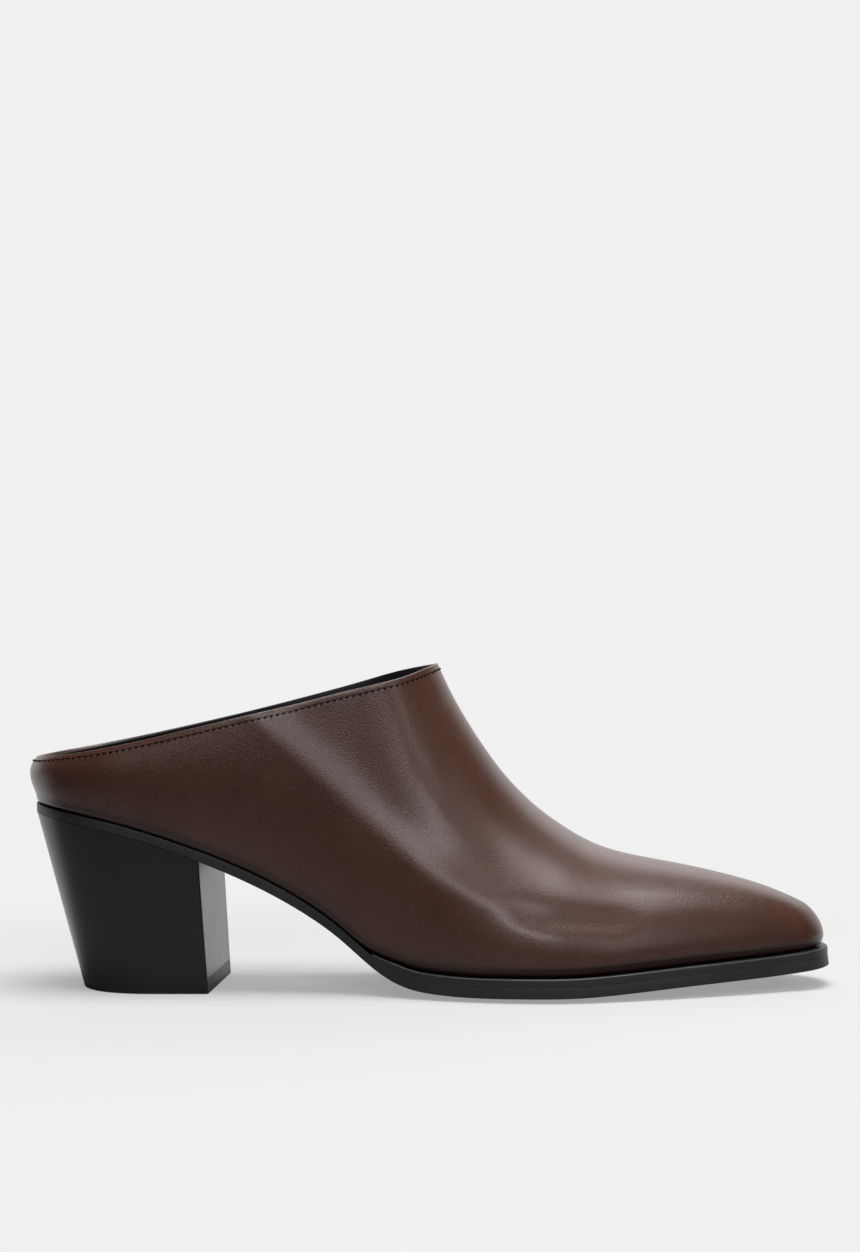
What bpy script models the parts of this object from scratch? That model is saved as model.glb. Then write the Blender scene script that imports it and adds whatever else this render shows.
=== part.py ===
"""Block heel mule, right foot, standing empty on its sole.

Metres. +X points to the toe, +Y to the inner side of the foot and +Z up. The shoe stands on z = 0,
and the origin is the centre of the heel's foot. Each outline and height is worked out along the
leather's foot, the line where the upper meets what is under it: 0 at the back, 1 at the toe tip.
"""

import bmesh
import bpy
import numpy as np

# Driving sizes of the last
FOOT_LENGTH = 0.2590
BALL_WIDTH = 0.0792
SEAT_LIFT = 0.0572
TOE_SPRING = 0.0066
TREAD_CAMBER = 0.0016
SEAT_ROUND = 0.0330
TOE_ROUND = 0.0105
NOSE_DEPTH = 0.0072

# Driving sizes of the upper
THROAT_HEIGHT = 0.1053
BACK_HEIGHT = 0.0750
THROAT_PLACE = 0.5100
THROAT_ROUND = 0.0220
COLLAR_BACK = 0.0023
UPPER_WALL = 0.0019
FOOT_CORNER = 0.0022
LASTING_MARGIN = 0.0100

# Driving sizes of what is under the upper
FIT_GAP = 0.0003
INSOLE_THICKNESS = 0.0030
INSOLE_TOE_ROOM = 0.0030
WELT_THICKNESS = 0.0025
WELT_EDGE = 0.0026
WELT_WIDTH = 0.0070
OUTSOLE_THICKNESS = 0.0033
SEAT_THICKNESS = 0.0026
EDGE_SLANT = 0.0004
HEEL_INSET = 0.0005
HEEL_BASE_LENGTH = 0.0444
HEEL_BASE_WIDTH = 0.0470
HEEL_BASE_ROUND = 0.0270
HEEL_SLANT = 0.0158
BREAST_PLACE = 0.0574
BREAST_SKEW = 0.073
TOP_LIFT_THICKNESS = 0.0048

# How finely the surfaces are divided
TOE_STATIONS = 5
VAMP_STATIONS = 21
SIDE_STATIONS = 17
SEAT_STATIONS = 8
WALL_LEVELS = 12
SOLE_COLUMNS = 9
HEEL_STATIONS = 12
HEEL_COLUMNS = 7
HEEL_LEVELS = 6
WELD = 1e-6
SHARP_ANGLE = 35

LATERAL = -1
MEDIAL = 1


def table(names, *rows):
    """A table with named columns, one row for each section."""
    return dict(zip(names.split(), np.array(rows, float).T))


# Half width and sideways shift of the leather's foot, as shares of the ball width
OUTLINE = table(
    "along centre half",
    (0.00, 0.000, 0.340),
    (0.11, -0.003, 0.338),
    (0.17, -0.007, 0.338),
    (0.23, -0.013, 0.323),
    (0.30, -0.024, 0.294),
    (0.37, -0.035, 0.288),
    (0.43, -0.043, 0.314),
    (0.49, -0.044, 0.372),
    (0.55, -0.038, 0.441),
    (0.61, -0.027, 0.489),
    (0.66, -0.017, 0.500),
    (0.71, -0.006, 0.477),
    (0.77, 0.003, 0.424),
    (0.83, 0.007, 0.358),
    (0.89, 0.010, 0.286),
    (0.95, 0.011, 0.205),
    (1.00, 0.011, 0.137),
)

# Height of the sole's underside along its middle: shares of the seat lift and of the toe spring
BOTTOM = table(
    "along lift spring",
    (0.000, 1.000, 0.00),
    (0.100, 0.914, 0.00),
    (0.190, 0.787, 0.00),
    (0.270, 0.636, 0.00),
    (0.340, 0.465, 0.00),
    (0.390, 0.306, 0.00),
    (0.430, 0.152, 0.00),
    (0.465, 0.058, 0.00),
    (0.510, 0.012, 0.00),
    (0.560, 0.000, -0.02),
    (0.620, 0.000, -0.05),
    (0.680, 0.000, -0.03),
    (0.740, 0.000, 0.13),
    (0.800, 0.000, 0.34),
    (0.880, 0.000, 0.59),
    (0.950, 0.000, 0.80),
    (1.000, 0.000, 1.00),
)

# How far the outsole's edge stands out from the leather's foot, as a share of the welt's edge
SOLE_EDGE = table(
    "along reach",
    (0.00, -0.05),
    (0.20, -0.05),
    (0.35, -0.10),
    (0.42, 0.10),
    (0.48, 0.85),
    (0.55, 1.00),
    (0.80, 1.00),
    (1.00, 0.60),
)

# The upper's top line from the throat to the toe: height as a share of the throat height, and
# sideways shift of the ridge as a share of the ball width
RIDGE = table(
    "along height shift",
    (0.5100, 1.000, 0.020),
    (0.5255, 0.918, 0.024),
    (0.5380, 0.861, 0.027),
    (0.5637, 0.759, 0.032),
    (0.5890, 0.672, 0.037),
    (0.6147, 0.601, 0.041),
    (0.6400, 0.544, 0.044),
    (0.6656, 0.498, 0.046),
    (0.6910, 0.459, 0.047),
    (0.7166, 0.429, 0.047),
    (0.7420, 0.409, 0.046),
    (0.7676, 0.395, 0.043),
    (0.8185, 0.372, 0.035),
    (0.8695, 0.345, 0.026),
    (0.9205, 0.310, 0.018),
    (0.9714, 0.259, 0.012),
    (1.0000, 0.222, 0.011),
)

# The collar from the back to the throat: half width and shift as shares of the ball width, and
# heights as shares of the climb from the back to the throat
COLLAR = table(
    "along half shift outer inner",
    (0.00, 0.322, 0.000, 0.000, 0.000),
    (0.07, 0.322, 0.000, 0.080, 0.070),
    (0.15, 0.326, -0.004, 0.215, 0.175),
    (0.22, 0.328, -0.008, 0.355, 0.315),
    (0.29, 0.318, -0.008, 0.490, 0.460),
    (0.36, 0.304, -0.004, 0.600, 0.620),
    (0.43, 0.284, 0.006, 0.735, 0.800),
    (0.47, 0.268, 0.012, 0.835, 0.910),
    (0.51, 0.252, 0.020, 1.000, 1.000),
)

# The wall's swell, as a share of the ball width and of its height, and how much it leans in
SWELL = table(
    "along outer inner place lean",
    (0.00, 0.0270, 0.0270, 0.58, 0.00),
    (0.15, 0.0200, 0.0200, 0.52, 0.00),
    (0.28, 0.0260, 0.0330, 0.42, 0.05),
    (0.38, 0.0340, 0.0480, 0.34, 0.15),
    (0.48, 0.0260, 0.0340, 0.26, 0.26),
    (0.58, 0.0190, 0.0190, 0.20, 0.28),
    (0.70, 0.0150, 0.0130, 0.20, 0.08),
    (0.85, 0.0100, 0.0090, 0.22, -0.10),
    (1.00, 0.0050, 0.0050, 0.30, -0.08),
)

# Where along the foot the welt, the camber and the thicker sole begin, and where they are full
WELT_START, WELT_FULL = 0.405, 0.465
CAMBER_START, CAMBER_FULL = 0.360, 0.520
THICKNESS_START, THICKNESS_FULL = 0.080, 0.340
NOSE_START = 0.860

# Form factors: how blunt the round ends are, how the walls near the throat lean forward and turn
# in, and how much of the half width the turned margin and the welt may take at the toe
ROUND_POWER = 2.5
TOE_POWER = 2.2
COLLAR_LAG = 0.12
COLLAR_TURN = 0.85
RIM_ROUND = 0.35
MARGIN_SHARE = 0.60
WELT_SHARE = 0.50
WELT_BEVEL = 0.0005
WELT_THINNEST = 0.0004

SEAT_BACK = SWELL["outer"][0] * BALL_WIDTH
HEEL_BASE_BACK = SEAT_BACK + HEEL_SLANT
ORIGIN_X = HEEL_BASE_BACK + HEEL_BASE_LENGTH / 2


def curve(rows, column, along):
    """The smooth curve (a natural cubic spline) through one column of a table."""
    knots, values = rows["along"], rows[column]
    span = np.diff(knots)
    rise = np.diff(values) / span
    system = np.eye(len(knots))
    bends = np.zeros(len(knots))
    for i in range(1, len(knots) - 1):
        system[i, i - 1 : i + 2] = span[i - 1], 2 * (span[i - 1] + span[i]), span[i]
        bends[i] = 6 * (rise[i] - rise[i - 1])
    bends = np.linalg.solve(system, bends)
    along = np.clip(along, knots[0], knots[-1])
    k = np.clip(np.searchsorted(knots, along) - 1, 0, len(span) - 1)
    step = along - knots[k]
    slope = rise[k] - span[k] * (2 * bends[k] + bends[k + 1]) / 6
    cubic = (bends[k + 1] - bends[k]) / (6 * span[k])
    return values[k] + step * (slope + step * (bends[k] / 2 + step * cubic))


def ease(start, full, at):
    """A soft step from 0 at start to 1 at full."""
    share = np.clip((at - start) / (full - start), 0, 1)
    return share * share * (3 - 2 * share)


def rounding(distance, length, power):
    """A round end: 0 at its tip and 1 from the given length on."""
    share = 1 - np.clip(distance / length, 0, 1)
    return (1 - share**ROUND_POWER) ** (1 / power)


def place(x):
    """Share of the leather's foot at a length measured from the upper's rearmost point."""
    return (x - SEAT_BACK) / FOOT_LENGTH


def half_width(along):
    return BALL_WIDTH * curve(OUTLINE, "half", along)


def outline(along, side, inset):
    """A point of the leather's foot seen from above, moved in by the inset all round."""
    along = np.asarray(along, float)
    ends = rounding(along * FOOT_LENGTH, SEAT_ROUND, 2)
    ends = ends * rounding((1 - along) * FOOT_LENGTH, TOE_ROUND, TOE_POWER)
    x = SEAT_BACK + inset + (FOOT_LENGTH - 2 * inset) * along
    centre = BALL_WIDTH * curve(OUTLINE, "centre", along)
    return x, centre + side * (half_width(along) - inset) * ends


def sole_bottom(x, y):
    """Underside of the outsole: the seat's climb, the toe spring and the tread's camber."""
    along = place(x)
    middle = SEAT_LIFT * curve(BOTTOM, "lift", along)
    middle = middle + TOE_SPRING * curve(BOTTOM, "spring", along)
    aside = (y - BALL_WIDTH * curve(OUTLINE, "centre", along)) / (BALL_WIDTH / 2)
    camber = TREAD_CAMBER * ease(CAMBER_START, CAMBER_FULL, along)
    return np.maximum(middle + camber * aside**2, 0)


def sole_top(x, y):
    grown = ease(THICKNESS_START, THICKNESS_FULL, place(x))
    return sole_bottom(x, y) + SEAT_THICKNESS + (OUTSOLE_THICKNESS - SEAT_THICKNESS) * grown


def upper_foot(x, y):
    """Underside of the upper: on the outsole behind, on the welt in front."""
    raised = (WELT_THICKNESS + FIT_GAP) * ease(WELT_START, WELT_FULL, place(x))
    return sole_top(x, y) + FIT_GAP + raised


def stations():
    """Shares of the leather's foot from the toe tip to the back, closer at both round ends."""
    toe = TOE_ROUND / FOOT_LENGTH
    seat = SEAT_ROUND / FOOT_LENGTH
    quarter = np.linspace(0, np.pi / 2, TOE_STATIONS + 1)[:-1]
    tip = 1 - toe * (1 - np.cos(quarter))
    vamp = np.linspace(1 - toe, THROAT_PLACE, VAMP_STATIONS + 1)[:-1]
    side = np.linspace(THROAT_PLACE, seat, SIDE_STATIONS + 1)[:-1]
    back = seat * (1 - np.sin(np.linspace(0, np.pi / 2, SEAT_STATIONS + 1)))
    return np.concatenate([tip, vamp, side, back])


def outward(x, y, side):
    """Directions square to the outline, seen from above, for stations from toe to back."""
    along_x, along_y = np.gradient(x), np.gradient(y)
    across = np.stack([side * along_y, -side * along_x], axis=-1)
    across /= np.linalg.norm(across, axis=-1, keepdims=True)
    across[0] = 1, 0
    across[-1] = -1, 0
    return across


def top_line(along, side):
    """Where each wall ends: on the ridge in front of the throat, on the collar behind it."""
    behind = along < THROAT_PLACE
    ridge = along - NOSE_DEPTH / FOOT_LENGTH * ease(NOSE_START, 1, along)
    back = np.clip(1 - along / THROAT_PLACE, 0, 1)
    forward = 1 - back**2 / (back + COLLAR_LAG * (1 - back))
    collar = THROAT_PLACE * forward
    at = np.where(behind, collar, ridge)
    throat_x = SEAT_BACK + THROAT_PLACE * FOOT_LENGTH
    collar_x = COLLAR_BACK + (throat_x - COLLAR_BACK) * forward
    x = np.where(behind, collar_x, SEAT_BACK + ridge * FOOT_LENGTH)
    ends = rounding((THROAT_PLACE - collar) * FOOT_LENGTH, THROAT_ROUND, 2)
    open_half = BALL_WIDTH * curve(COLLAR, "half", at) * ends
    open_half = open_half * rounding(collar * FOOT_LENGTH, SEAT_ROUND, 2)
    shift = np.where(behind, curve(COLLAR, "shift", at), curve(RIDGE, "shift", at))
    climb = curve(COLLAR, "outer" if side == LATERAL else "inner", at)
    collar_height = BACK_HEIGHT + (THROAT_HEIGHT - BACK_HEIGHT) * climb
    height = np.where(behind, collar_height, THROAT_HEIGHT * curve(RIDGE, "height", at))
    turn = np.where(behind, np.arccos(COLLAR_TURN * ends), np.pi / 2)
    y = BALL_WIDTH * shift + side * np.where(behind, open_half, 0)
    return x, y, height, turn


def wall(along, side):
    """The upper's outer wall, from its foot to the ridge or the collar, and its outward normals.

    Each wall is part of an oval from its foot to its top: it climbs with the sine of an angle and
    runs in with one less the cosine, made steeper or fuller by the lean, plus the swell.
    """
    foot_x, foot_y = outline(along, side, 0)
    foot_z = upper_foot(foot_x, foot_y) + FOOT_CORNER
    top_x, top_y, top_z, turn = top_line(along, side)
    angle = turn[:, None] * np.linspace(0, 1, WALL_LEVELS + 1)[None, :]
    lean = curve(SWELL, "lean", along)[:, None]
    run = 1 - np.cos(angle) * (1 - lean * np.sin(angle) ** 2)
    run = run / run[:, -1:]
    climb = np.sin(angle)
    climb = climb / climb[:, -1:]
    x = foot_x[:, None] + (top_x - foot_x)[:, None] * run
    y = foot_y[:, None] + (top_y - foot_y)[:, None] * run
    # the nose meets the ridge at the ridge's own slope
    slope = np.gradient(top_z, top_x) * ease(NOSE_START, 1, along)
    top = top_z[:, None] + slope[:, None] * (x - top_x[:, None])
    z = foot_z[:, None] + (top - foot_z[:, None]) * climb
    height = np.linspace(0, 1, WALL_LEVELS + 1)[None, :]
    peak = np.log(0.5) / np.log(curve(SWELL, "place", along))[:, None]
    swell = BALL_WIDTH * curve(SWELL, "outer" if side == LATERAL else "inner", along)[:, None]
    swell = swell * 4 * height**peak * (1 - height**peak)
    across = outward(foot_x, foot_y, side)
    x = x + across[:, :1] * swell
    y = y + across[:, 1:] * swell
    points = np.stack([x, y, z], axis=-1)
    return points, wall_normals(points, along, side)


def wall_normals(points, along, side):
    lengthwise = np.gradient(points, axis=0)
    upward = np.gradient(points, axis=1)
    # the two sides meet square to the middle at the toe tip, at the back and along the ridge
    lengthwise[0] = 0, side, 0
    lengthwise[-1] = 0, -side, 0
    normals = -side * np.cross(upward, lengthwise)
    ridge = along >= THROAT_PLACE
    line = np.gradient(points[ridge, -1], axis=0)
    normals[ridge, -1] = np.stack([line[:, 2], 0 * line[:, 0], -line[:, 0]], axis=-1)
    return normals / np.linalg.norm(normals, axis=-1, keepdims=True)


def level_line(along, side, inset, lift):
    """A line round the upper's foot, moved in by the inset and raised by the lift."""
    x, y = outline(along, side, inset)
    return np.stack([x, y, upper_foot(x, y) + lift], axis=-1)


def make_object(name, grids, colour, roughness, metallic=0.0):
    """One closed body from grids of points that meet along their edges."""
    shape = bmesh.new()
    for grid in grids:
        rows, columns = grid.shape[:2]
        flat = grid.reshape(-1, 3) - (ORIGIN_X, 0, 0)
        corners = [shape.verts.new(point) for point in flat]
        for i in range(rows - 1):
            for j in range(columns - 1):
                k = i * columns + j
                face = corners[k], corners[k + columns], corners[k + columns + 1], corners[k + 1]
                shape.faces.new(face)
    bmesh.ops.remove_doubles(shape, verts=shape.verts, dist=WELD)
    bmesh.ops.dissolve_degenerate(shape, edges=shape.edges, dist=WELD)
    bmesh.ops.recalc_face_normals(shape, faces=shape.faces)
    mesh = bpy.data.meshes.new(name)
    shape.to_mesh(mesh)
    shape.free()
    mesh.shade_smooth()
    mesh.set_sharp_from_angle(angle=np.radians(SHARP_ANGLE))
    piece = bpy.data.objects.new(name, mesh)
    bpy.context.scene.collection.objects.link(piece)
    finish = bpy.data.materials.new(name)
    finish.use_nodes = True
    shader = finish.node_tree.nodes["Principled BSDF"]
    shader.inputs["Base Color"].default_value = (*colour, 1)
    shader.inputs["Roughness"].default_value = roughness
    shader.inputs["Metallic"].default_value = metallic
    mesh.materials.append(finish)
    return piece


def block_grids(levels):
    """Grids that close a block: its lowest and highest level, and the wall round them."""
    return [
        levels[0],
        levels[-1],
        levels[:, :, 0],
        levels[:, :, -1],
        levels[:, 0],
        levels[:, -1],
    ]


def make_upper():
    along = stations()
    margin = np.minimum(LASTING_MARGIN, MARGIN_SHARE * half_width(along))
    open_top = along <= THROAT_PLACE
    throat = len(along) - np.count_nonzero(open_top)
    grids = []
    for side in (LATERAL, MEDIAL):
        outer, normals = wall(along, side)
        inner = outer - UPPER_WALL * normals
        edge = level_line(along, side, margin, 0)
        turned = level_line(along, side, FOOT_CORNER, 0)
        arc_middle = FOOT_CORNER * (1 - np.cos(np.pi / 4))
        rounded = level_line(along, side, arc_middle, arc_middle)
        outer = np.concatenate([np.stack([edge, turned, rounded], axis=1), outer], axis=1)
        inner_edge = level_line(along, side, margin, UPPER_WALL)
        inner_corner = level_line(along, side, UPPER_WALL + FIT_GAP, UPPER_WALL)
        inner = np.concatenate([np.stack([inner_edge, inner_corner], axis=1), inner], axis=1)
        grids += [outer, inner, np.stack([edge, inner_edge], axis=1)]
        collar = np.gradient(outer[throat:, -1], axis=0)
        collar[0] = collar[-1] = 0, side, 0
        rise = np.cross(normals[throat:, -1], collar)
        rise /= np.linalg.norm(rise, axis=-1, keepdims=True)
        rise *= np.sign(rise[:, 2:])
        middle = (outer[throat:, -1] + inner[throat:, -1]) / 2 + RIM_ROUND * UPPER_WALL * rise
        grids.append(np.stack([outer[throat:, -1], middle, inner[throat:, -1]], axis=1))
    return make_object("upper", grids, (0.066, 0.036, 0.025), 0.42)


def sole_levels(along, inset_bottom, inset_top, bottom, top):
    """A lower and an upper grid that span the sole from side to side."""
    levels = []
    for inset, height in ((inset_bottom, bottom), (inset_top, top)):
        outer_x, outer_y = outline(along, LATERAL, inset)
        _, inner_y = outline(along, MEDIAL, inset)
        across = np.sin(np.linspace(-np.pi / 2, np.pi / 2, SOLE_COLUMNS)) / 2 + 0.5
        y = outer_y[:, None] + (inner_y - outer_y)[:, None] * across[None, :]
        x = outer_x[:, None] + 0 * y
        levels.append(np.stack([x, y, height(x, y)], axis=-1))
    return np.stack(levels)


def make_insole():
    along = stations()
    inset = UPPER_WALL + 2 * FIT_GAP + INSOLE_TOE_ROOM * ease(NOSE_START, 1, along)
    lift = UPPER_WALL + FIT_GAP

    def bottom(x, y):
        return upper_foot(x, y) + lift

    def top(x, y):
        return upper_foot(x, y) + lift + INSOLE_THICKNESS

    levels = sole_levels(along, inset, inset, bottom, top)
    return make_object("insole", block_grids(levels), (0.012, 0.012, 0.013), 0.6)


def sole_reach(along):
    return WELT_EDGE * curve(SOLE_EDGE, "reach", along)


def make_outsole():
    along = stations()
    reach = sole_reach(along)
    slant = EDGE_SLANT * ease(WELT_START, WELT_FULL, along)
    levels = sole_levels(along, -reach - slant, -reach, sole_bottom, sole_top)
    return make_object("outsole", block_grids(levels), (0.016, 0.016, 0.017), 0.45)


def make_welt():
    """A strip from the outer waist round the toe to the inner waist, thinned out at both ends."""
    along = stations()
    thickness = (WELT_THICKNESS + FIT_GAP) * ease(WELT_START, WELT_FULL, along) - FIT_GAP
    along, thickness = along[thickness > WELT_THINNEST], thickness[thickness > WELT_THINNEST]
    reach = sole_reach(along)
    inside = np.minimum(WELT_WIDTH, WELT_SHARE * half_width(along))
    bevel = np.minimum(WELT_BEVEL, thickness / 3)
    grids = []
    for side in (LATERAL, MEDIAL):
        line = [
            level_line(along, side, inside, -FIT_GAP - thickness),
            level_line(along, side, -reach, -FIT_GAP - thickness),
            level_line(along, side, -reach, -FIT_GAP - bevel),
            level_line(along, side, bevel - reach, -FIT_GAP),
            level_line(along, side, inside, -FIT_GAP),
            level_line(along, side, inside, -FIT_GAP - thickness),
        ]
        ring = np.stack(line, axis=1)
        low, out, bevelled, up, back = ring[-1, :5]
        end = np.array([[low, out], [back, bevelled]])
        end_corner = np.array([[bevelled, up], [back, back]])
        grids += [ring, end, end_corner]
    return make_object("welt", grids, (0.02, 0.02, 0.021), 0.5)


def heel_outline(back, length, half, centre, corner):
    """The heel seen from above: rows from its round back to its flat breast, columns across."""
    forward = heel_rows()
    half = half * rounding(forward * length, corner, 2)
    aside = half[:, None] * np.linspace(-1, 1, HEEL_COLUMNS)
    x = (back + forward * length)[:, None] + BREAST_SKEW * aside * forward[:, None]
    return np.stack([x, centre[:, None] + aside], axis=-1)


def heel_rows():
    return 1 - np.cos(np.linspace(0, np.pi / 2, HEEL_STATIONS + 1))


def heel_block(lowest, highest, levels):
    """Levels of the heel between two heights, or up to the seat where highest is None.

    Each wall point lies on the straight line from the outline on the floor to the one at the seat.
    """
    seat_length = BREAST_PLACE - HEEL_INSET
    along = (HEEL_INSET + heel_rows() * seat_length) / FOOT_LENGTH
    seat_centre = BALL_WIDTH * curve(OUTLINE, "centre", along)
    seat_half = half_width(along) - HEEL_INSET
    seat = heel_outline(SEAT_BACK + HEEL_INSET, seat_length, seat_half, seat_centre, SEAT_ROUND)
    base = heel_outline(HEEL_BASE_BACK, HEEL_BASE_LENGTH, HEEL_BASE_WIDTH / 2, 0 * along, HEEL_BASE_ROUND)
    seat_height = sole_bottom(seat[..., 0], seat[..., 1]) - FIT_GAP
    if highest is None:
        highest = seat_height
    height = lowest + (highest - lowest) * np.linspace(0, 1, levels + 1)[:, None, None]
    height = np.broadcast_to(height, (levels + 1, *seat_height.shape))[..., None]
    plan = base + (seat - base) * height / seat_height[..., None]
    return np.concatenate([plan, height], axis=-1)


def make_heel():
    levels = heel_block(TOP_LIFT_THICKNESS + FIT_GAP, None, HEEL_LEVELS)
    return make_object("heel", block_grids(levels), (0.016, 0.016, 0.017), 0.35)


def make_top_lift():
    levels = heel_block(0, TOP_LIFT_THICKNESS, 1)
    return make_object("top_lift", block_grids(levels), (0.014, 0.014, 0.015), 0.6)


def main():
    for old in list(bpy.data.objects):
        bpy.data.objects.remove(old)
    make_upper()
    make_insole()
    make_welt()
    make_outsole()
    make_heel()
    make_top_lift()


main()
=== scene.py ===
import bpy
import bmesh
import numpy as np
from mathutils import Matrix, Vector


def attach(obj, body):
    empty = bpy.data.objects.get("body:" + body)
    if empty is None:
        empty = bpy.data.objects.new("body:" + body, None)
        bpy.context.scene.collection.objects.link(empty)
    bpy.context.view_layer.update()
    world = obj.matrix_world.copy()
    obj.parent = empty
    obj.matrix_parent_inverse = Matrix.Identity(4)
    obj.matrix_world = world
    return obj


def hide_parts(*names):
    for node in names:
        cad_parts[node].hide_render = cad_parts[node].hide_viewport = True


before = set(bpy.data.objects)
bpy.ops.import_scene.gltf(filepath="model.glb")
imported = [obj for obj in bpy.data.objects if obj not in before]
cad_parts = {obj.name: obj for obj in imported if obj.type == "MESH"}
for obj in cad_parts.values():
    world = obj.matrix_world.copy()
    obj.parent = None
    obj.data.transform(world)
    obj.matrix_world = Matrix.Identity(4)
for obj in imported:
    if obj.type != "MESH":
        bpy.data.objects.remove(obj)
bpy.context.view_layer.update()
print("frame loaded:", ", ".join(sorted(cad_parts)))


def addObject(name, data):
    item = bpy.data.objects.new(name, data)
    bpy.context.scene.collection.objects.link(item)
    return item


# The camera stands level at the outer side and looks straight across the shoe
cameraSettings = {"place": (0.0915, -0.774, 0.1178), "lens": 67.43, "sensorHeight": 36.0, "clip": (0.01, 50)}


def makeCamera(settings):
    camera = addObject("camera", bpy.data.cameras.new("camera"))
    camera.data.sensor_fit = "VERTICAL"
    camera.data.sensor_height = settings["sensorHeight"]
    camera.data.lens = settings["lens"]
    camera.data.clip_start, camera.data.clip_end = settings["clip"]
    camera.location = settings["place"]
    camera.rotation_euler = (np.pi / 2, 0, 0)
    bpy.context.scene.camera = camera


makeCamera(cameraSettings)
print("camera placed")

# Sizes of the last and of the layers on it, in metres; lengths start at the upper's rearmost point
lastSizes = {
    "footLength": 0.2590, "ballWidth": 0.0792, "seatLift": 0.0572, "toeSpring": 0.0066,
    "treadCamber": 0.0016, "seatRound": 0.0330, "toeRound": 0.0105, "noseDepth": 0.0072,
    "throatHeight": 0.1053, "backHeight": 0.0750, "throatPlace": 0.51, "throatRound": 0.0220,
    "collarBack": 0.0023, "wall": 0.0019, "footCorner": 0.0022, "margin": 0.0100,
    "fitGap": 0.0003, "weltThickness": 0.0025, "weltEdge": 0.0026, "outsoleThickness": 0.0033,
    "seatThickness": 0.0026, "edgeSlant": 0.0004, "insoleThickness": 0.0030, "toeRoom": 0.0030,
    "roundPower": 2.5, "toePower": 2.2, "collarLag": 0.12, "collarTurn": 0.85, "noseStart": 0.86,
    "weltStart": 0.405, "weltFull": 0.465, "camberStart": 0.360, "camberFull": 0.520,
    "thickStart": 0.080, "thickFull": 0.340, "ridgeBendOuter": 20.0, "ridgeBendInner": 60.0,
    "blendShort": 0.030, "blendLong": 0.115, "slopeStep": 0.004, "outlineStep": 0.0001,
}


def tableOf(names, *rows):
    return dict(zip(names.split(), np.array(rows, float).T))


# Shares of the ball width: sideways shift and half width of the leather's foot
outlineTable = tableOf(
    "along centre half",
    (0.00, 0.000, 0.340), (0.11, -0.003, 0.338), (0.17, -0.007, 0.338), (0.23, -0.013, 0.323),
    (0.30, -0.024, 0.294), (0.37, -0.035, 0.288), (0.43, -0.043, 0.314), (0.49, -0.044, 0.372),
    (0.55, -0.038, 0.441), (0.61, -0.027, 0.489), (0.66, -0.017, 0.500), (0.71, -0.006, 0.477),
    (0.77, 0.003, 0.424), (0.83, 0.007, 0.358), (0.89, 0.010, 0.286), (0.95, 0.011, 0.205),
    (1.00, 0.011, 0.137),
)
# Shares of the seat lift and of the toe spring: height of the sole's underside
bottomTable = tableOf(
    "along lift spring",
    (0.000, 1.000, 0.00), (0.100, 0.914, 0.00), (0.190, 0.787, 0.00), (0.270, 0.636, 0.00),
    (0.340, 0.465, 0.00), (0.390, 0.306, 0.00), (0.430, 0.152, 0.00), (0.465, 0.058, 0.00),
    (0.510, 0.012, 0.00), (0.560, 0.000, -0.02), (0.620, 0.000, -0.05), (0.680, 0.000, -0.03),
    (0.740, 0.000, 0.13), (0.800, 0.000, 0.34), (0.880, 0.000, 0.59), (0.950, 0.000, 0.80),
    (1.000, 0.000, 1.00),
)
# Share of the welt's edge: how far the sole stands out
edgeTable = tableOf(
    "along reach",
    (0.00, -0.05), (0.20, -0.05), (0.35, -0.10), (0.42, 0.10), (0.48, 0.85), (0.55, 1.00),
    (0.80, 1.00), (1.00, 0.60),
)
# Share of the throat's height, and of the ball width: the line along the vamp's top
ridgeTable = tableOf(
    "along height shift",
    (0.5100, 1.000, 0.020), (0.5255, 0.918, 0.024), (0.5380, 0.861, 0.027),
    (0.5637, 0.759, 0.032), (0.5890, 0.672, 0.037), (0.6147, 0.601, 0.041),
    (0.6400, 0.544, 0.044), (0.6656, 0.498, 0.046), (0.6910, 0.459, 0.047),
    (0.7166, 0.429, 0.047), (0.7420, 0.409, 0.046), (0.7676, 0.395, 0.043),
    (0.8185, 0.372, 0.035), (0.8695, 0.345, 0.026), (0.9205, 0.310, 0.018),
    (0.9714, 0.259, 0.012), (1.0000, 0.222, 0.011),
)
# Shares of the ball width and of the climb from the back to the throat: the collar
collarTable = tableOf(
    "along half shift outer inner",
    (0.00, 0.322, 0.000, 0.000, 0.000), (0.07, 0.322, 0.000, 0.080, 0.096),
    (0.15, 0.326, -0.004, 0.215, 0.233), (0.22, 0.328, -0.008, 0.355, 0.367),
    (0.29, 0.318, -0.008, 0.496, 0.508), (0.36, 0.304, -0.004, 0.645, 0.662),
    (0.43, 0.284, 0.006, 0.795, 0.828), (0.47, 0.268, 0.012, 0.876, 0.924),
    (0.51, 0.252, 0.020, 1.000, 1.000),
)
# Shares of the ball width: the wall's swell, its place in the height, and how it leans in
swellTable = tableOf(
    "along outer inner place lean",
    (0.00, 0.0270, 0.0270, 0.58, 0.00), (0.15, 0.0200, 0.0200, 0.52, 0.00),
    (0.28, 0.0260, 0.0330, 0.42, 0.05), (0.38, 0.0340, 0.0480, 0.34, 0.15),
    (0.48, 0.0260, 0.0340, 0.26, 0.26), (0.58, 0.0190, 0.0190, 0.20, 0.28),
    (0.70, 0.0150, 0.0130, 0.20, 0.08), (0.85, 0.0100, 0.0090, 0.22, -0.10),
    (1.00, 0.0050, 0.0050, 0.30, -0.08),
)
outerSide, innerSide = -1, 1
sideColumn = {outerSide: "outer", innerSide: "inner"}
seatBack = swellTable["outer"][0] * lastSizes["ballWidth"]

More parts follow.
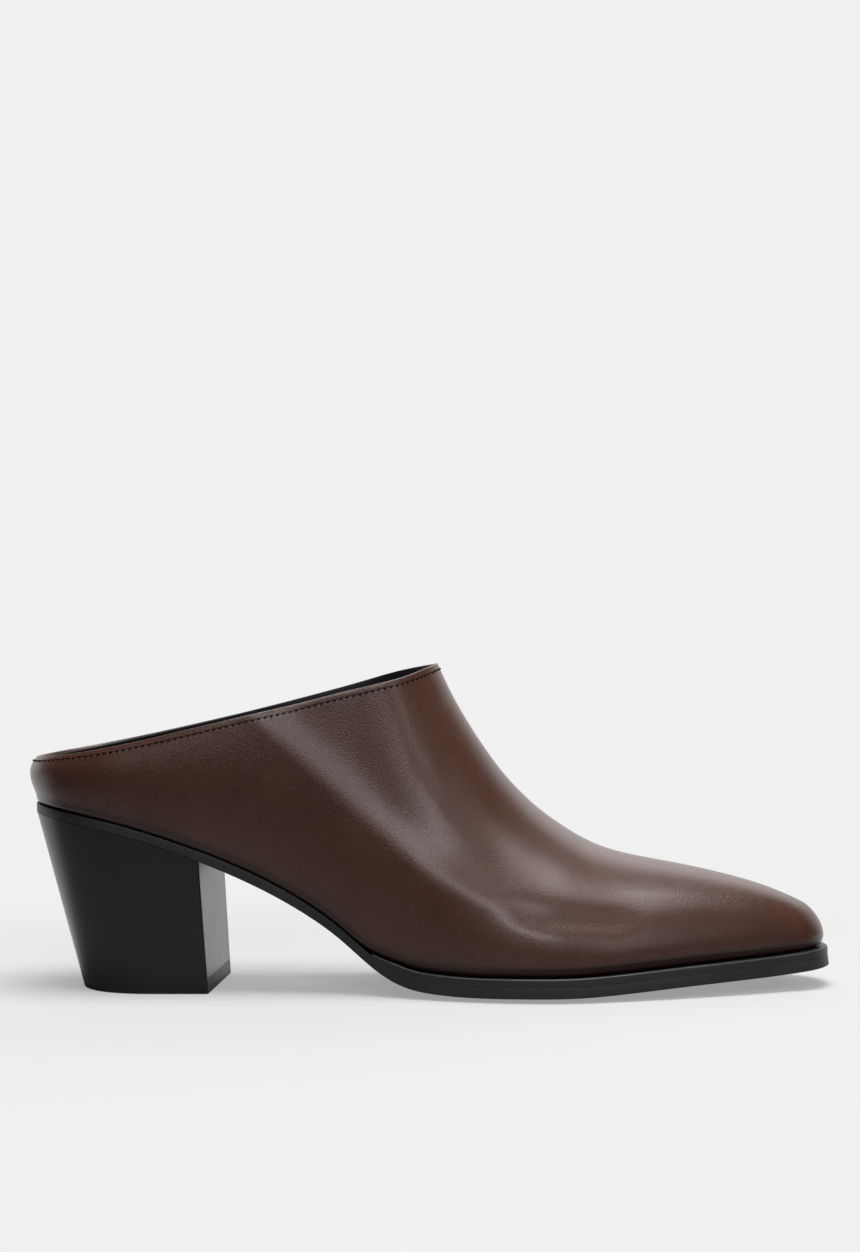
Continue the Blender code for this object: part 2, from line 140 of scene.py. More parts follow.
# The heel under the seat, in metres
heelSizes = {
    "baseLength": 0.0444, "baseWidth": 0.0470, "baseRound": 0.0270, "slant": 0.0158,
    "breastPlace": 0.0574, "breastSkew": 0.073, "inset": 0.00025, "liftThickness": 0.0048,
    "cornerRound": 0.0009, "seamGap": 0.00003, "seatGap": 0.00005,
}
heelBack = seatBack + heelSizes["slant"]
originX = heelBack + heelSizes["baseLength"] / 2


def curve(rows, column, at):
    # natural cubic spline: each span is a cubic whose bends match at the table's rows
    knots, values = rows["along"], rows[column]
    span = np.diff(knots)
    rise = np.diff(values) / span
    system, bends = np.eye(len(knots)), np.zeros(len(knots))
    for i in range(1, len(knots) - 1):
        system[i, i - 1 : i + 2] = span[i - 1], 2 * (span[i - 1] + span[i]), span[i]
        bends[i] = 6 * (rise[i] - rise[i - 1])
    bends = np.linalg.solve(system, bends)
    at = np.clip(at, knots[0], knots[-1])
    k = np.clip(np.searchsorted(knots, at) - 1, 0, len(span) - 1)
    step = at - knots[k]
    slope = rise[k] - span[k] * (2 * bends[k] + bends[k + 1]) / 6
    bend = bends[k] / 2 + step * (bends[k + 1] - bends[k]) / (6 * span[k])
    return values[k] + step * (slope + step * bend)


def ease(start, full, at):
    # soft step: three times the share squared less twice its cube
    share = np.clip((at - start) / (full - start), 0, 1)
    return share * share * (3 - 2 * share)


def rounding(distance, length, power):
    # round end: one less the remaining share to a power, to one over the end's own power
    share = 1 - np.clip(distance / length, 0, 1)
    return (1 - share ** lastSizes["roundPower"]) ** (1 / power)


def shareOf(x):
    return (x - seatBack) / lastSizes["footLength"]


def ballShare(rows, column, along):
    return lastSizes["ballWidth"] * curve(rows, column, along)


def halfWidth(along):
    return ballShare(outlineTable, "half", along)


def centreLine(along):
    return ballShare(outlineTable, "centre", along)


def outline(along, side, inset):
    # the middle plus or less the half width, drawn in at both round ends
    s = lastSizes
    ends = rounding(along * s["footLength"], s["seatRound"], 2)
    ends = ends * rounding((1 - along) * s["footLength"], s["toeRound"], s["toePower"])
    x = seatBack + inset + (s["footLength"] - 2 * inset) * along
    return x, centreLine(along) + side * (halfWidth(along) - inset) * ends


def soleBottom(x, y):
    # the seat's lift plus the toe's spring plus the camber times the square of the sideways share
    s, along = lastSizes, shareOf(x)
    middle = s["seatLift"] * curve(bottomTable, "lift", along)
    middle = middle + s["toeSpring"] * curve(bottomTable, "spring", along)
    aside = (y - centreLine(along)) / (s["ballWidth"] / 2)
    camber = s["treadCamber"] * ease(s["camberStart"], s["camberFull"], along)
    return np.maximum(middle + camber * aside**2, 0)


def soleTop(x, y):
    # the underside plus a thickness that grows from the seat to the forepart
    grown = ease(lastSizes["thickStart"], lastSizes["thickFull"], shareOf(x))
    thin, thick = lastSizes["seatThickness"], lastSizes["outsoleThickness"]
    return soleBottom(x, y) + thin + (thick - thin) * grown


def weltRise(along):
    s = lastSizes
    return (s["weltThickness"] + s["fitGap"]) * ease(s["weltStart"], s["weltFull"], along)


def upperFoot(x, y):
    return soleTop(x, y) + lastSizes["fitGap"] + weltRise(shareOf(x))


def unit(vectors):
    return vectors / np.linalg.norm(vectors, axis=-1, keepdims=True)


def stations(counts):
    # shares of the foot from the toe tip to the back, packed closer on both round ends
    toe = lastSizes["toeRound"] / lastSizes["footLength"]
    seat = lastSizes["seatRound"] / lastSizes["footLength"]
    throat = lastSizes["throatPlace"]
    tipShares = 1 - toe * (1 - np.cos(np.linspace(0, np.pi / 2, counts["tip"] + 1)[:-1]))
    vampShares = np.linspace(1 - toe, throat, counts["vamp"] + 1)[:-1]
    sideShares = np.linspace(throat, seat, counts["side"] + 1)[:-1]
    backShares = seat * (1 - np.sin(np.linspace(0, np.pi / 2, counts["back"] + 1)))
    return np.concatenate([tipShares, vampShares, sideShares, backShares])


def topLine(along, side):
    # the ridge in front of the throat, and the collar's oval behind it
    s = lastSizes
    behind = along < s["throatPlace"]
    ridge = along - s["noseDepth"] / s["footLength"] * ease(s["noseStart"], 1, along)
    back = np.clip(1 - along / s["throatPlace"], 0, 1)
    forward = 1 - back**2 / (back + s["collarLag"] * (1 - back))
    collar = s["throatPlace"] * forward
    at = np.where(behind, collar, ridge)
    throatX = seatBack + s["throatPlace"] * s["footLength"]
    collarX = s["collarBack"] + (throatX - s["collarBack"]) * forward
    x = np.where(behind, collarX, seatBack + ridge * s["footLength"])
    ends = rounding((s["throatPlace"] - collar) * s["footLength"], s["throatRound"], 2)
    openHalf = ballShare(collarTable, "half", at) * ends
    openHalf = openHalf * rounding(collar * s["footLength"], s["seatRound"], 2)
    shift = np.where(behind, curve(collarTable, "shift", at), curve(ridgeTable, "shift", at))
    climb = curve(collarTable, sideColumn[side], at)
    collarHeight = s["backHeight"] + (s["throatHeight"] - s["backHeight"]) * climb
    height = np.where(behind, collarHeight, s["throatHeight"] * curve(ridgeTable, "height", at))
    turn = np.where(behind, np.arccos(s["collarTurn"] * ends), np.pi / 2)
    y = s["ballWidth"] * shift + side * np.where(behind, openHalf, 0)
    return x, y, height, turn


def swellOut(along, side, height):
    # four times a power of the height times one less that power, which peaks at the table's place
    power = height ** (np.log(0.5) / np.log(curve(swellTable, "place", along)))
    return ballShare(swellTable, sideColumn[side], along) * 4 * power * (1 - power)


def runIn(angle, lean):
    return 1 - np.cos(angle) * (1 - lean * np.sin(angle) ** 2)


def lastSide(x, z, side):
    # the whole last's side at a length and height: full ovals whose ridge goes on climbing behind the
    # throat by its slope and bend there; the oval's angle is the arc sine of the share of that height
    s = lastSizes
    throat, bend = s["throatPlace"], s["ridgeBendOuter" if side == outerSide else "ridgeBendInner"]
    slope = curve(ridgeTable, "height", throat + s["slopeStep"]) - curve(ridgeTable, "height", throat)
    slope = slope / s["slopeStep"]
    along = shareOf(x)
    for _ in range(3):
        footX, footY = outline(along, side, 0)
        footZ = upperFoot(footX, footY) + s["footCorner"]
        behind = np.maximum(throat - along, 0)
        ridge = curve(ridgeTable, "height", np.maximum(along, throat))
        ridge = ridge - slope * behind + bend * behind**2
        angle = np.arcsin(np.clip((z - footZ) / (s["throatHeight"] * ridge - footZ), 0, 1))
        swell = swellOut(along, side, angle / (np.pi / 2))
        step = s["outlineStep"]
        acrossY = s["footLength"] * 2 * step
        acrossX = -side * (outline(along + step, side, 0)[1] - outline(along - step, side, 0)[1])
        length = np.hypot(acrossX, acrossY)
        acrossX, acrossY = acrossX / length, side * acrossY / length
        along = shareOf(x - acrossX * swell)
    shift = ballShare(ridgeTable, "shift", along)
    shift = np.where(along < throat, ballShare(collarTable, "shift", along), shift)
    run = runIn(angle, curve(swellTable, "lean", along))
    return footY + (shift - footY) * run + acrossY * swell


def wall(along, heights, side):
    # part of an oval from foot to top: it climbs with the sine of an angle and runs in with one
    # less the cosine, made steeper or fuller by the lean, plus the swell square to the outline;
    # near the throat the last's own side takes over, so that the vamp runs on smoothly behind it
    s = lastSizes
    footX, footY = outline(along, side, 0)
    footZ = upperFoot(footX, footY) + s["footCorner"]
    topX, topY, topZ, turn = topLine(along, side)
    angle = turn[:, None] * heights[None, :]
    lean = curve(swellTable, "lean", along)
    run = runIn(angle, lean[:, None]) / runIn(turn, lean)[:, None]
    climb = np.sin(angle) / np.sin(turn)[:, None]
    x = footX[:, None] + (topX - footX)[:, None] * run
    y = footY[:, None] + (topY - footY)[:, None] * run
    # the nose meets the ridge at the ridge's own slope
    slope = np.gradient(topZ, topX) * ease(s["noseStart"], 1, along)
    top = topZ[:, None] + slope[:, None] * (x - topX[:, None])
    z = footZ[:, None] + (top - footZ[:, None]) * climb
    swell = swellOut(along[:, None], side, heights[None, :])
    acrossX, acrossY = side * np.gradient(footY), -side * np.gradient(footX)
    length = np.hypot(acrossX, acrossY)
    acrossX, acrossY = acrossX / length, acrossY / length
    acrossX[0], acrossY[0], acrossX[-1], acrossY[-1] = 1, 0, -1, 0
    x, y = x + acrossX[:, None] * swell, y + acrossY[:, None] * swell
    behind = along < s["throatPlace"]
    share = shareOf(x[behind])
    weight = ease(s["throatPlace"] - s["blendLong"], s["throatPlace"] - s["blendShort"], share)
    y[behind] += weight * (lastSide(x[behind], z[behind], side) - y[behind])
    return np.stack([x, y, z], axis=-1)


def wallNormals(points, along, side):
    # square to both directions of the grid; both sides agree on the ridge, the toe and the back
    lengthwise, upward = np.gradient(points, axis=0), np.gradient(points, axis=1)
    lengthwise[0], lengthwise[-1] = (0, side, 0), (0, -side, 0)
    normals = -side * np.cross(upward, lengthwise)
    ridge = along >= lastSizes["throatPlace"]
    line = np.gradient(points[ridge, -1], axis=0)
    normals[ridge, -1] = np.stack([line[:, 2], 0 * line[:, 0], -line[:, 0]], axis=-1)
    return unit(normals)


def levelLine(along, side, inset, lift):
    # the outline drawn in by the inset, at the foot's height plus the lift
    x, y = outline(along, side, inset)
    return np.stack([x, y, upperFoot(x, y) + lift], axis=-1)


def distanceToPath(points, path):
    # the least distance from each point to the path's straight runs, and where on the path it is
    flat = points.reshape(-1, points.shape[-1])
    best, place = np.full(len(flat), 1e9), np.zeros(len(flat))
    for k in range(len(path) - 1):
        step = path[k + 1] - path[k]
        share = np.clip((flat - path[k]) @ step / max(step @ step, 1e-18), 0, 1)
        gap = np.linalg.norm(flat - path[k] - share[:, None] * step, axis=-1)
        nearer = gap < best
        best[nearer], place[nearer] = gap[nearer], (k + share[nearer]) / (len(path) - 1)
    return best.reshape(points.shape[:-1]), place.reshape(points.shape[:-1])


def buildPiece(name, grids, material, nodeName, marks=None, weld=2e-6, sharpAngle=None):
    # each grid is any number of copies of rows by columns of points; four neighbours make a face
    points, faces, values, start = [], [], [], 0
    for i, grid in enumerate(grids):
        rows, columns = grid.shape[-3:-1]
        index = start + np.arange(grid[..., 0].size).reshape(-1, rows, columns)
        corners = index[:, :-1, :-1], index[:, 1:, :-1], index[:, 1:, 1:], index[:, :-1, 1:]
        faces.append(np.stack(corners, axis=-1).reshape(-1, 4))
        points.append(grid.reshape(-1, 3) - (originX, 0, 0))
        for key, mark in (marks or {}).items():
            values.append((key, np.broadcast_to(mark[i], grid.shape[:-1]).reshape(-1)))
        start += grid[..., 0].size
    points, faces = np.concatenate(points), np.concatenate(faces)
    mesh = bpy.data.meshes.new(name)
    mesh.vertices.add(len(points))
    mesh.vertices.foreach_set("co", points.astype(np.float32).ravel())
    mesh.loops.add(faces.size)
    mesh.loops.foreach_set("vertex_index", faces.ravel().astype(np.int32))
    mesh.polygons.add(len(faces))
    mesh.polygons.foreach_set("loop_start", np.arange(0, faces.size, 4, dtype=np.int32))
    mesh.update(calc_edges=True)
    for key in marks or {}:
        layer = mesh.attributes.new(key, "FLOAT", "POINT")
        marked = np.concatenate([value for owner, value in values if owner == key])
        layer.data.foreach_set("value", marked.astype(np.float32))
    shape = bmesh.new()
    shape.from_mesh(mesh)
    bmesh.ops.remove_doubles(shape, verts=shape.verts, dist=weld)
    bmesh.ops.dissolve_degenerate(shape, edges=shape.edges, dist=weld)
    bmesh.ops.recalc_face_normals(shape, faces=shape.faces)
    openEdges = sum(edge.is_boundary or not edge.is_manifold for edge in shape.edges)
    shape.to_mesh(mesh)
    shape.free()
    mesh.shade_smooth()
    if sharpAngle:
        mesh.set_sharp_from_angle(angle=np.radians(sharpAngle))
    piece = addObject(name, mesh)
    mesh.materials.append(material)
    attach(piece, "root")
    if nodeName:
        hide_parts(nodeName)
    triangles = sum(len(p.vertices) - 2 for p in mesh.polygons)
    print(f"{name}: {triangles} triangles, {openEdges} open edges")
    return piece


# Shader groups shared by the materials; each noise is given by its detail and its roughness
grainSettings = {
    "warpScale": 160.0, "warpReach": 0.0012, "smoothness": 0.6, "fineShare": 1.7, "fineWeight": 0.7,
    "warpNoise": (2.0, 0.5), "fineNoise": (3.0, 0.6),
}
mottleSettings = {
    "smallShare": 9.0, "smallWeight": 0.35, "maskFrom": 0.35, "maskTo": 0.65, "swing": 4.0,
    "wideNoise": (3.0, 0.55), "smallNoise": (4.0, 0.6),
}


def newGroup(name, inputs, outputs):
    # sockets are given by their titles; the one called Vector is a vector and the rest are numbers
    group = bpy.data.node_groups.new(name, "ShaderNodeTree")
    for way, titles in (("INPUT", inputs), ("OUTPUT", outputs)):
        for title in titles.split():
            kind = "NodeSocketVector" if title == "Vector" else "NodeSocketFloat"
            group.interface.new_socket(title, in_out=way, socket_type=kind)
    given, out = group.nodes.new("NodeGroupInput"), group.nodes.new("NodeGroupOutput")
    return group, given.outputs, out.inputs


def feed(tree, socket, value):
    # a socket is linked and a plain value is set
    if isinstance(value, bpy.types.NodeSocket):
        tree.links.new(value, socket)
    else:
        socket.default_value = value


def addNode(tree, kind, settings=None, **links):
    # links name the sockets by their titles, with blanks left out, or i0, i1 by number
    node = tree.nodes.new(kind)
    for key, value in (settings or {}).items():
        setattr(node, key, value)
    byTitle = {socket.name.replace(" ", ""): socket for socket in reversed(node.inputs)}
    for key, value in links.items():
        byNumber = key[0] == "i" and key[1:].isdigit()
        feed(tree, node.inputs[int(key[1:])] if byNumber else byTitle[key], value)
    return node


def mathNode(tree, operation, first, second=0.0, third=0.0, clamp=False):
    settings = {"operation": operation, "use_clamp": clamp}
    return addNode(tree, "ShaderNodeMath", settings, i0=first, i1=second, i2=third).outputs[0]


def rangeNode(tree, value, fromLow, fromHigh, toLow, toHigh, smooth=False):
    settings = {"interpolation_type": "SMOOTHSTEP" if smooth else "LINEAR"}
    ends = {"FromMin": fromLow, "FromMax": fromHigh, "ToMin": toLow, "ToMax": toHigh}
    return addNode(tree, "ShaderNodeMapRange", settings, Value=value, **ends).outputs["Result"]


def noiseNode(tree, place, scale, detail, roughness):
    links = {"Vector": place, "Scale": scale, "Detail": detail, "Roughness": roughness}
    return addNode(tree, "ShaderNodeTexNoise", None, **links)


def mixColours(tree, factor, first, second):
    # the mix node's sockets for its share and its two colours are numbers 0, 6 and 7
    node = addNode(tree, "ShaderNodeMix", {"data_type": "RGBA"}, i0=factor, i6=first, i7=second)
    return node.outputs[2]


def makeGrainGroup(settings):
    # pores and a fine pebble: one less a warped cell pattern's distance, plus a share of a small noise
    group, given, out = newGroup("leatherGrain", "Vector PoreScale", "Height")
    warp = noiseNode(group, given["Vector"], settings["warpScale"], *settings["warpNoise"])
    links = {"i0": warp.outputs["Color"], "i1": [settings["warpReach"]] * 3, "i2": given["Vector"]}
    moved = addNode(group, "ShaderNodeVectorMath", {"operation": "MULTIPLY_ADD"}, **links).outputs[0]
    links = {"Vector": moved, "Scale": given["PoreScale"], "Smoothness": settings["smoothness"]}
    cells = addNode(group, "ShaderNodeTexVoronoi", {"feature": "SMOOTH_F1"}, **links)
    fineScale = mathNode(group, "MULTIPLY", given["PoreScale"], settings["fineShare"])
    fine = noiseNode(group, moved, fineScale, *settings["fineNoise"])
    bumps = mathNode(group, "SUBTRACT", 1.0, cells.outputs["Distance"])
    height = mathNode(group, "MULTIPLY_ADD", fine.outputs[0], settings["fineWeight"], bumps)
    group.links.new(height, out["Height"])
    return group


def makeMottleGroup(settings):
    # slow change of tone and gloss: two noises of different size are added up to a mask, and the
    # roughness is the gloss plus the mask's distance from a half times the spread
    group, given, out = newGroup("slowMottle", "Vector Size Gloss Spread", "Mask Roughness")
    wide = noiseNode(group, given["Vector"], given["Size"], *settings["wideNoise"])
    smallSize = mathNode(group, "MULTIPLY", given["Size"], settings["smallShare"])
    small = noiseNode(group, given["Vector"], smallSize, *settings["smallNoise"])
    mask = mathNode(group, "MULTIPLY", wide.outputs[0], 1 - settings["smallWeight"])
    mask = mathNode(group, "MULTIPLY_ADD", small.outputs[0], settings["smallWeight"], mask)
    tone = rangeNode(group, mask, settings["maskFrom"], settings["maskTo"], 0.0, 1.0)
    group.links.new(tone, out["Mask"])
    spread = mathNode(group, "MULTIPLY", given["Spread"], settings["swing"])
    swing = mathNode(group, "MULTIPLY", mathNode(group, "SUBTRACT", mask, 0.5), spread)
    group.links.new(mathNode(group, "ADD", given["Gloss"], swing, clamp=True), out["Roughness"])
    return group


grainGroup, mottleGroup = makeGrainGroup(grainSettings), makeMottleGroup(mottleSettings)


def feedAll(tree, node, links):
    for title, value in links.items():
        feed(tree, node.inputs[title], value)


def groupNode(tree, group, **links):
    node = tree.nodes.new("ShaderNodeGroup")
    node.node_tree = group
    feedAll(tree, node, links)
    return node.outputs


def linear(red, green, blue):
    # screen colour from 0 to 255 to the light it stands for
    shares = np.array([red, green, blue]) / 255
    return (*np.where(shares > 0.04045, ((shares + 0.055) / 1.055) ** 2.4, shares / 12.92), 1)


def startMaterial(name):
    material = bpy.data.materials.new(name)
    material.use_nodes = True
    tree = material.node_tree
    place = tree.nodes.new("ShaderNodeTexCoord").outputs["Object"]
    return material, tree, tree.nodes["Principled BSDF"], place


def startLook(name, look):
    # a mottled tone between two colours, a mottled gloss, and a fine grain as a bump
    material, tree, shader, place = startMaterial(name)
    links = {"Size": look["size"], "Gloss": look["gloss"], "Spread": look["spread"]}
    mottle = groupNode(tree, mottleGroup, Vector=place, **links)
    grain = groupNode(tree, grainGroup, Vector=place, PoreScale=look["poreScale"])
    tone = mixColours(tree, mottle["Mask"], linear(*look["deep"]), linear(*look["pale"]))
    tree.links.new(mottle["Roughness"], shader.inputs["Roughness"])
    links = {"Strength": 1.0, "Distance": look["grainDepth"], "Height": grain["Height"]}
    return material, tree, shader, tone, addNode(tree, "ShaderNodeBump", None, **links).outputs[0]


# Colours are screen colours from 0 to 255. The seam's and the foot's places are in millimetres from
# the collar and from the upper's foot.
# burnish is painted shade: the leather is darkened towards it in the stitched seam's groove and along the
# wall's foot where it meets the welt
leatherLook = {
    "deep": (73, 42, 31), "pale": (84, 52, 41), "burnish": (44, 26, 20), "size": 22.0,
    "poreScale": 2100.0, "grainDepth": 0.000065, "gloss": 0.31, "spread": 0.025,
    "coat": 0.30, "coatRoughness": 0.21, "seamDepth": 0.00010, "seamPlace": 1.8, "seamFall": 3.2,
    "seamTail": 0.02, "seamDark": 0.7, "footFrom": 0.3, "footTo": 2.2, "footDark": 0.85,
}


def makeLeather(look):
    material, tree, shader, tone, grain = startLook("brown_calf", look)
    edge = addNode(tree, "ShaderNodeAttribute", {"attribute_name": "edgeDistance"}).outputs["Fac"]
    foot = addNode(tree, "ShaderNodeAttribute", {"attribute_name": "footDistance"}).outputs["Fac"]
    # painted shade along the wall's foot where the leather meets the welt: strongest at the foot and gone
    # about two millimetres up
    footDark = rangeNode(tree, foot, look["footFrom"], look["footTo"], look["footDark"], 0.0, True)
    # the stitched seam's groove: a small number to the power of the squared distance times its fall
    groove = mathNode(tree, "SUBTRACT", edge, look["seamPlace"])
    groove = mathNode(tree, "MULTIPLY", mathNode(tree, "MULTIPLY", groove, groove), look["seamFall"])
    groove = mathNode(tree, "POWER", look["seamTail"], groove)
    # painted shade: the colour is pulled towards the shade colour by the deeper of the foot's shade and the
    # seam groove's shade
    dark = mathNode(tree, "MAXIMUM", footDark, mathNode(tree, "MULTIPLY", groove, look["seamDark"]))
    tone = mixColours(tree, dark, tone, linear(*look["burnish"]))
    links = {"Strength": 1.0, "Distance": look["seamDepth"], "Height": groove, "Normal": grain}
    seam = addNode(tree, "ShaderNodeBump", {"invert": True}, **links)
    coat = {"Coat Weight": look["coat"], "Coat Roughness": look["coatRoughness"]}
    feedAll(tree, shader, {"Base Color": tone, "Normal": seam.outputs[0], **coat})
    return material


def blackLook(deep, pale, gloss, spread, poreScale, grainDepth, specular=0.5):
    return {
        "deep": deep, "pale": pale, "gloss": gloss, "spread": spread, "poreScale": poreScale,
        "grainDepth": grainDepth, "specular": specular, "size": 40.0,
    }


blackLooks = {
    "lining_leather": blackLook((24, 24, 25), (32, 31, 32), 0.50, 0.04, 1500.0, 0.00003),
    "sock_leather": blackLook((24, 24, 25), (34, 33, 34), 0.45, 0.05, 1300.0, 0.00003),
    "welt_edge": blackLook((38, 39, 40), (48, 49, 50), 0.42, 0.05, 2600.0, 0.00002),
    "sole_edge": blackLook((38, 39, 40), (48, 49, 50), 0.45, 0.05, 2600.0, 0.00002),
    "heel_paint": blackLook((24, 24, 25), (30, 31, 31), 0.29, 0.03, 900.0, 0.000006),
    "lift_rubber": blackLook((26, 26, 27), (34, 34, 35), 0.45, 0.04, 1900.0, 0.00002),
    "dark_thread": blackLook((24, 12, 9), (36, 20, 15), 0.85, 0.04, 6000.0, 0.00003, 0.1),
}


def makeBlack(name, look):
    material, tree, shader, tone, grain = startLook(name, look)
    feedAll(tree, shader, {"Base Color": tone, "Normal": grain, "Specular IOR Level": look["specular"]})
    return material


leather = makeLeather(leatherLook)
blacks = {name: makeBlack(name, look) for name, look in blackLooks.items()}
print("materials made")

upperSettings = {
    "tip": 14, "vamp": 132, "side": 112, "back": 38, "levels": 84, "cornerRows": 6, "rimRows": 8,
    "leather": 0.0010, "lining": 0.00085, "rimRise": 0.00030, "liningRise": 0.00005, "innerStep": 6,
    "marginShare": 0.6, "cornerGap": 0.0004, "liningGap": 0.00005, "liningStep": (2, 3), "liningEdge": 6,
    "liningFoot": ((0.0016, 0.0012), (0.0024, 0.0020)), "pathStep": 4, "markReach": 0.02,
    "farMark": 20.0, "rimMark": 30.0, "foldEnds": 0.25, "foldRidge": (0.001, 0.009),
}
# Soft troughs in the leather, in metres; the paths are lengths and heights
folds = {
    outerSide: {
        "width": 0.0042, "depth": 0.0009,
        "path": [(0.150, 0.031), (0.168, 0.0265), (0.184, 0.0250), (0.203, 0.0235)],
    },
    innerSide: {
        "width": 0.0055, "depth": 0.0004,
        "path": [(0.148, 0.030), (0.168, 0.0270), (0.190, 0.0240)],
    },
}
# The shoulder: a soft edge on the outer side from the collar down to the ball; above it the leather
# turns in towards the vamp. Lengths and heights in metres.
shoulderTable = tableOf(
    "along height",
    (0.040, 0.1200), (0.060, 0.1010), (0.080, 0.0815), (0.099, 0.0645), (0.113, 0.0510),
    (0.126, 0.0400), (0.140, 0.0320), (0.158, 0.0265), (0.180, 0.0235), (0.220, 0.0215),
)
shoulder = {
    "edgeDepth": 0.0024, "edgeWidth": 0.0088, "depth": 0.0001, "width": 0.0230, "ridgeFade": 0.028,
    "starts": 0.058, "full": 0.082, "leaves": 0.118, "ends": 0.190, "slopeStep": 0.002,
}


def shoulderDepth(points):
    # two depths times one less e to the minus squared distance over width, above the line only; the
    # distance is the height over the line, made square to it by the line's own slope
    x, z = points[..., 0], points[..., 2]
    height = curve(shoulderTable, "height", x)
    step = shoulder["slopeStep"]
    slope = curve(shoulderTable, "height", x + step) - curve(shoulderTable, "height", x - step)
    slope = slope / (2 * step)
    gap = np.maximum(z - height, 0) / np.sqrt(1 + slope**2)
    depth = shoulder["edgeDepth"] * (1 - np.exp(-(gap / shoulder["edgeWidth"]) ** 2))
    depth = depth + shoulder["depth"] * (1 - np.exp(-(gap / shoulder["width"]) ** 2))
    ridgeY = ballShare(ridgeTable, "shift", shareOf(x))
    fade = ease(0, shoulder["ridgeFade"], ridgeY - points[..., 1])
    depth = depth * fade * ease(shoulder["starts"], shoulder["full"], x)
    return depth * (1 - ease(shoulder["leaves"], shoulder["ends"], x))


def foldDepth(points, side, ends, ridge):
    # the fold's depth times e to the minus squared distance over width, fading at both ends of the
    # path and towards the ridge
    fold = folds[side]
    gap, along = distanceToPath(points[..., [0, 2]], np.array(fold["path"]))
    fade = ease(0, ends, along) * ease(0, ends, 1 - along)
    ridgeY = ballShare(ridgeTable, "shift", shareOf(points[..., 0]))
    fade = fade * ease(*ridge, side * (points[..., 1] - ridgeY))
    return fold["depth"] * np.exp(-(gap / fold["width"]) ** 2) * fade


def collarRise(normals, top, side):
    # square to the wall and to the collar's own line, upwards
    line = np.gradient(top, axis=0)
    line[0] = line[-1] = 0, side, 0
    rise = unit(np.cross(normals, line))
    return rise * np.sign(rise[:, 2:])


def makeSkins(settings, along):
    # for each side the leather's outer face, sunk by its folds and shoulder, and its normals
    heights = np.linspace(0, 1, settings["levels"] + 1)
    skins = {}
    for side in (outerSide, innerSide):
        skin = wall(along, heights, side)
        normals = wallNormals(skin, along, side)
        depth = foldDepth(skin, side, settings["foldEnds"], settings["foldRidge"])
        if side == outerSide:
            depth = depth + shoulderDepth(skin)
        skins[side] = skin - depth[..., None] * normals, normals
    return skins


def makeUpper(settings):
    s = lastSizes
    along = stations(settings)
    throat = np.count_nonzero(along > s["throatPlace"])
    margin = np.minimum(s["margin"], settings["marginShare"] * halfWidth(along))
    skins = makeSkins(settings, along)
    leatherGrids, liningGrids, edgeMarks, footMarks = [], [], [], []
    collar = [skins[outerSide][0][throat:, -1], skins[innerSide][0][throat:, -1][::-1]]
    collar = np.concatenate(collar)
    for side, (skin, normals) in skins.items():
        # leather: turned margin, rounded corner at the foot, wall, rolled edge
        turn = np.linspace(0, np.pi / 2, settings["cornerRows"] + 1)[:-1]
        bend, thick = s["footCorner"], settings["leather"]
        corner = [levelLine(along, side, bend * (1 - np.sin(t)), bend * (1 - np.cos(t))) for t in turn]
        under = np.stack([levelLine(along, side, margin, 0)] + corner, axis=1)
        outer = np.concatenate([under, skin], axis=1)
        insideEdge = levelLine(along, side, margin, thick)
        insideCorner = levelLine(along, side, thick + settings["cornerGap"], thick)
        back = (skin - thick * normals)[:, :: settings["innerStep"]]
        inner = np.concatenate([np.stack([insideEdge, insideCorner], axis=1), back], axis=1)
        top, up = skin[throat:, -1], normals[throat:, -1]
        rise = collarRise(up, top, side)
        half = thick / 2
        arc = np.linspace(0, np.pi, settings["rimRows"] + 1)[None, :, None]
        rim = top[:, None] - half * up[:, None] + half * np.cos(arc) * up[:, None]
        rim = rim + settings["rimRise"] * np.sin(arc) * rise[:, None]
        rim[:, -1] = inner[throat:, -1]
        ring = np.stack([under[:, 0], insideEdge], axis=1)
        leatherGrids += [outer, inner, ring, rim]
        # marks for the shader's seam groove and painted shade: millimetres from the collar, and millimetres
        # from the wall's foot
        near, _ = distanceToPath(outer, collar[:: settings["pathStep"]])
        climb = np.linalg.norm(skin - skin[:, :1], axis=-1)
        climb = np.concatenate([np.zeros(under.shape[:2]), climb], axis=1)
        near = np.minimum(near, settings["markReach"])
        edgeMarks += [near * 1000, settings["farMark"], settings["farMark"], 0.0]
        footMarks += [climb * 1000, 0.0, 0.0, settings["rimMark"]]
        # lining: a thin shell inside the leather, with a rounded edge at the collar
        rows, columns = settings["liningStep"]
        coarse = skin[::rows, ::columns], normals[::rows, ::columns]
        far = coarse[0] - (thick + settings["liningGap"]) * coarse[1]
        close = coarse[0] - s["wall"] * coarse[1]
        feet = [levelLine(along[::rows], side, *foot)[:, None] for foot in settings["liningFoot"]]
        places = np.arange(len(along))[::rows]
        behind = places >= throat
        places = places[behind] - throat
        lift, out = rise[places][:, None], up[places][:, None]
        far[behind, -1] += settings["liningRise"] * lift[:, 0]
        close[behind, -1] += settings["liningRise"] * lift[:, 0]
        middle, radius = (far[behind, -1] + close[behind, -1])[:, None] / 2, settings["lining"] / 2
        turn = np.linspace(0, np.pi, settings["liningEdge"])[None, :, None]
        edge = middle + radius * np.cos(turn) * out + radius * np.sin(turn) * lift
        edge[:, 0], edge[:, -1] = far[behind, -1], close[behind, -1]
        shells = [np.concatenate(pair, axis=1) for pair in zip(feet, (far, close))]
        liningGrids += [*shells, np.concatenate(feet, axis=1), edge]
    marks = {"edgeDistance": edgeMarks, "footDistance": footMarks}
    buildPiece("upper_leather", leatherGrids, leather, "upper", marks)
    buildPiece("upper_lining", liningGrids, blacks["lining_leather"], "upper")
    return skins, collar


skins, collarLine = makeUpper(upperSettings)

